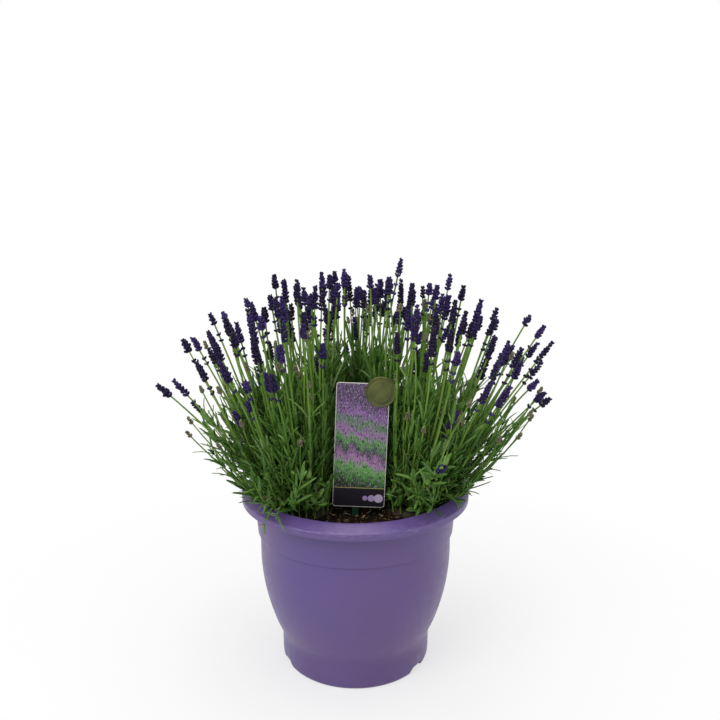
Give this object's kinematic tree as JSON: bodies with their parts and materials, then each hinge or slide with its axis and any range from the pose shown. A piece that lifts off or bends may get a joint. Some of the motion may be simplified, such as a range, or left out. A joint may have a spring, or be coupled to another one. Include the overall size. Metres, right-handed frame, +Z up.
{
  "type": "potted lavender",
  "caption": "Round bulging plastic pot of soil with lavender: woody crowns, leafy shoots, slender stems with violet flower spikes, and a plant label on a stake.",
  "frame": {"origin": "on the pot's axis, on the surface that the foot ring stands on", "axes": "+Z up along the pot's axis; -Y is the front, where the label faces; +X is to the right of someone who reads the label"},
  "size_m": [0.5414, 0.4655, 0.5763],
  "materials": {
    "pot_plastic": "satin injection-moulded polypropylene, purple",
    "soil_peat": "moist peat and composted bark with fibres, matt",
    "label_print": "printed plastic card, semi-gloss, with a pale edge",
    "badge_plastic": "translucent olive plastic disc with a raised rim",
    "stake_plastic": "dark green moulded plastic",
    "crown_wood": "grey-brown woody base, rough bark",
    "leaf_green": "narrow grey-green leaves, matt and slightly downy",
    "stem_green": "square green stems, matt",
    "spike_violet": "dark violet buds, velvety"
  },
  "bodies": {
    "root": {"pot": "pot_plastic", "soil": "soil_peat", "label_card": "label_print", "label_badge": "badge_plastic", "label_stake": "stake_plastic", "woody_crown_left": "crown_wood", "woody_crown_right": "crown_wood", "woody_crown_back": "crown_wood", "leafy_shoot_01": "leaf_green", "leafy_shoot_02": "leaf_green", "leafy_shoot_03": "leaf_green", "leafy_shoot_04": "leaf_green", "leafy_shoot_05": "leaf_green", "leafy_shoot_06": "leaf_green", "leafy_shoot_07": "leaf_green", "leafy_shoot_08": "leaf_green", "leafy_shoot_09": "leaf_green", "leafy_shoot_10": "leaf_green", "leafy_shoot_11": "leaf_green", "leafy_shoot_12": "leaf_green", "flower_stem_01": "stem_green", "flower_stem_02": "stem_green", "flower_stem_03": "stem_green", "flower_stem_04": "stem_green", "flower_stem_05": "stem_green", "flower_stem_06": "stem_green", "flower_stem_07": "stem_green", "flower_stem_08": "stem_green", "flower_stem_09": "stem_green", "flower_stem_10": "stem_green", "flower_stem_11": "stem_green", "flower_stem_12": "stem_green", "flower_stem_13": "stem_green", "flower_stem_14": "stem_green", "flower_stem_15": "stem_green", "flower_stem_16": "stem_green", "flower_stem_17": "stem_green", "flower_stem_18": "stem_green", "flower_stem_19": "stem_green", "flower_stem_20": "stem_green", "flower_spike_01": "spike_violet", "flower_spike_02": "spike_violet", "flower_spike_03": "spike_violet", "flower_spike_04": "spike_violet", "flower_spike_05": "spike_violet", "flower_spike_06": "spike_violet", "flower_spike_07": "spike_violet", "flower_spike_08": "spike_violet", "flower_spike_09": "spike_violet", "flower_spike_10": "spike_violet", "flower_spike_11": "spike_violet", "flower_spike_12": "spike_violet", "flower_spike_13": "spike_violet", "flower_spike_14": "spike_violet", "flower_spike_15": "spike_violet", "flower_spike_16": "spike_violet", "flower_spike_17": "spike_violet", "flower_spike_18": "spike_violet", "flower_spike_19": "spike_violet", "flower_spike_20": "spike_violet"}
  },
  "joints": []
}
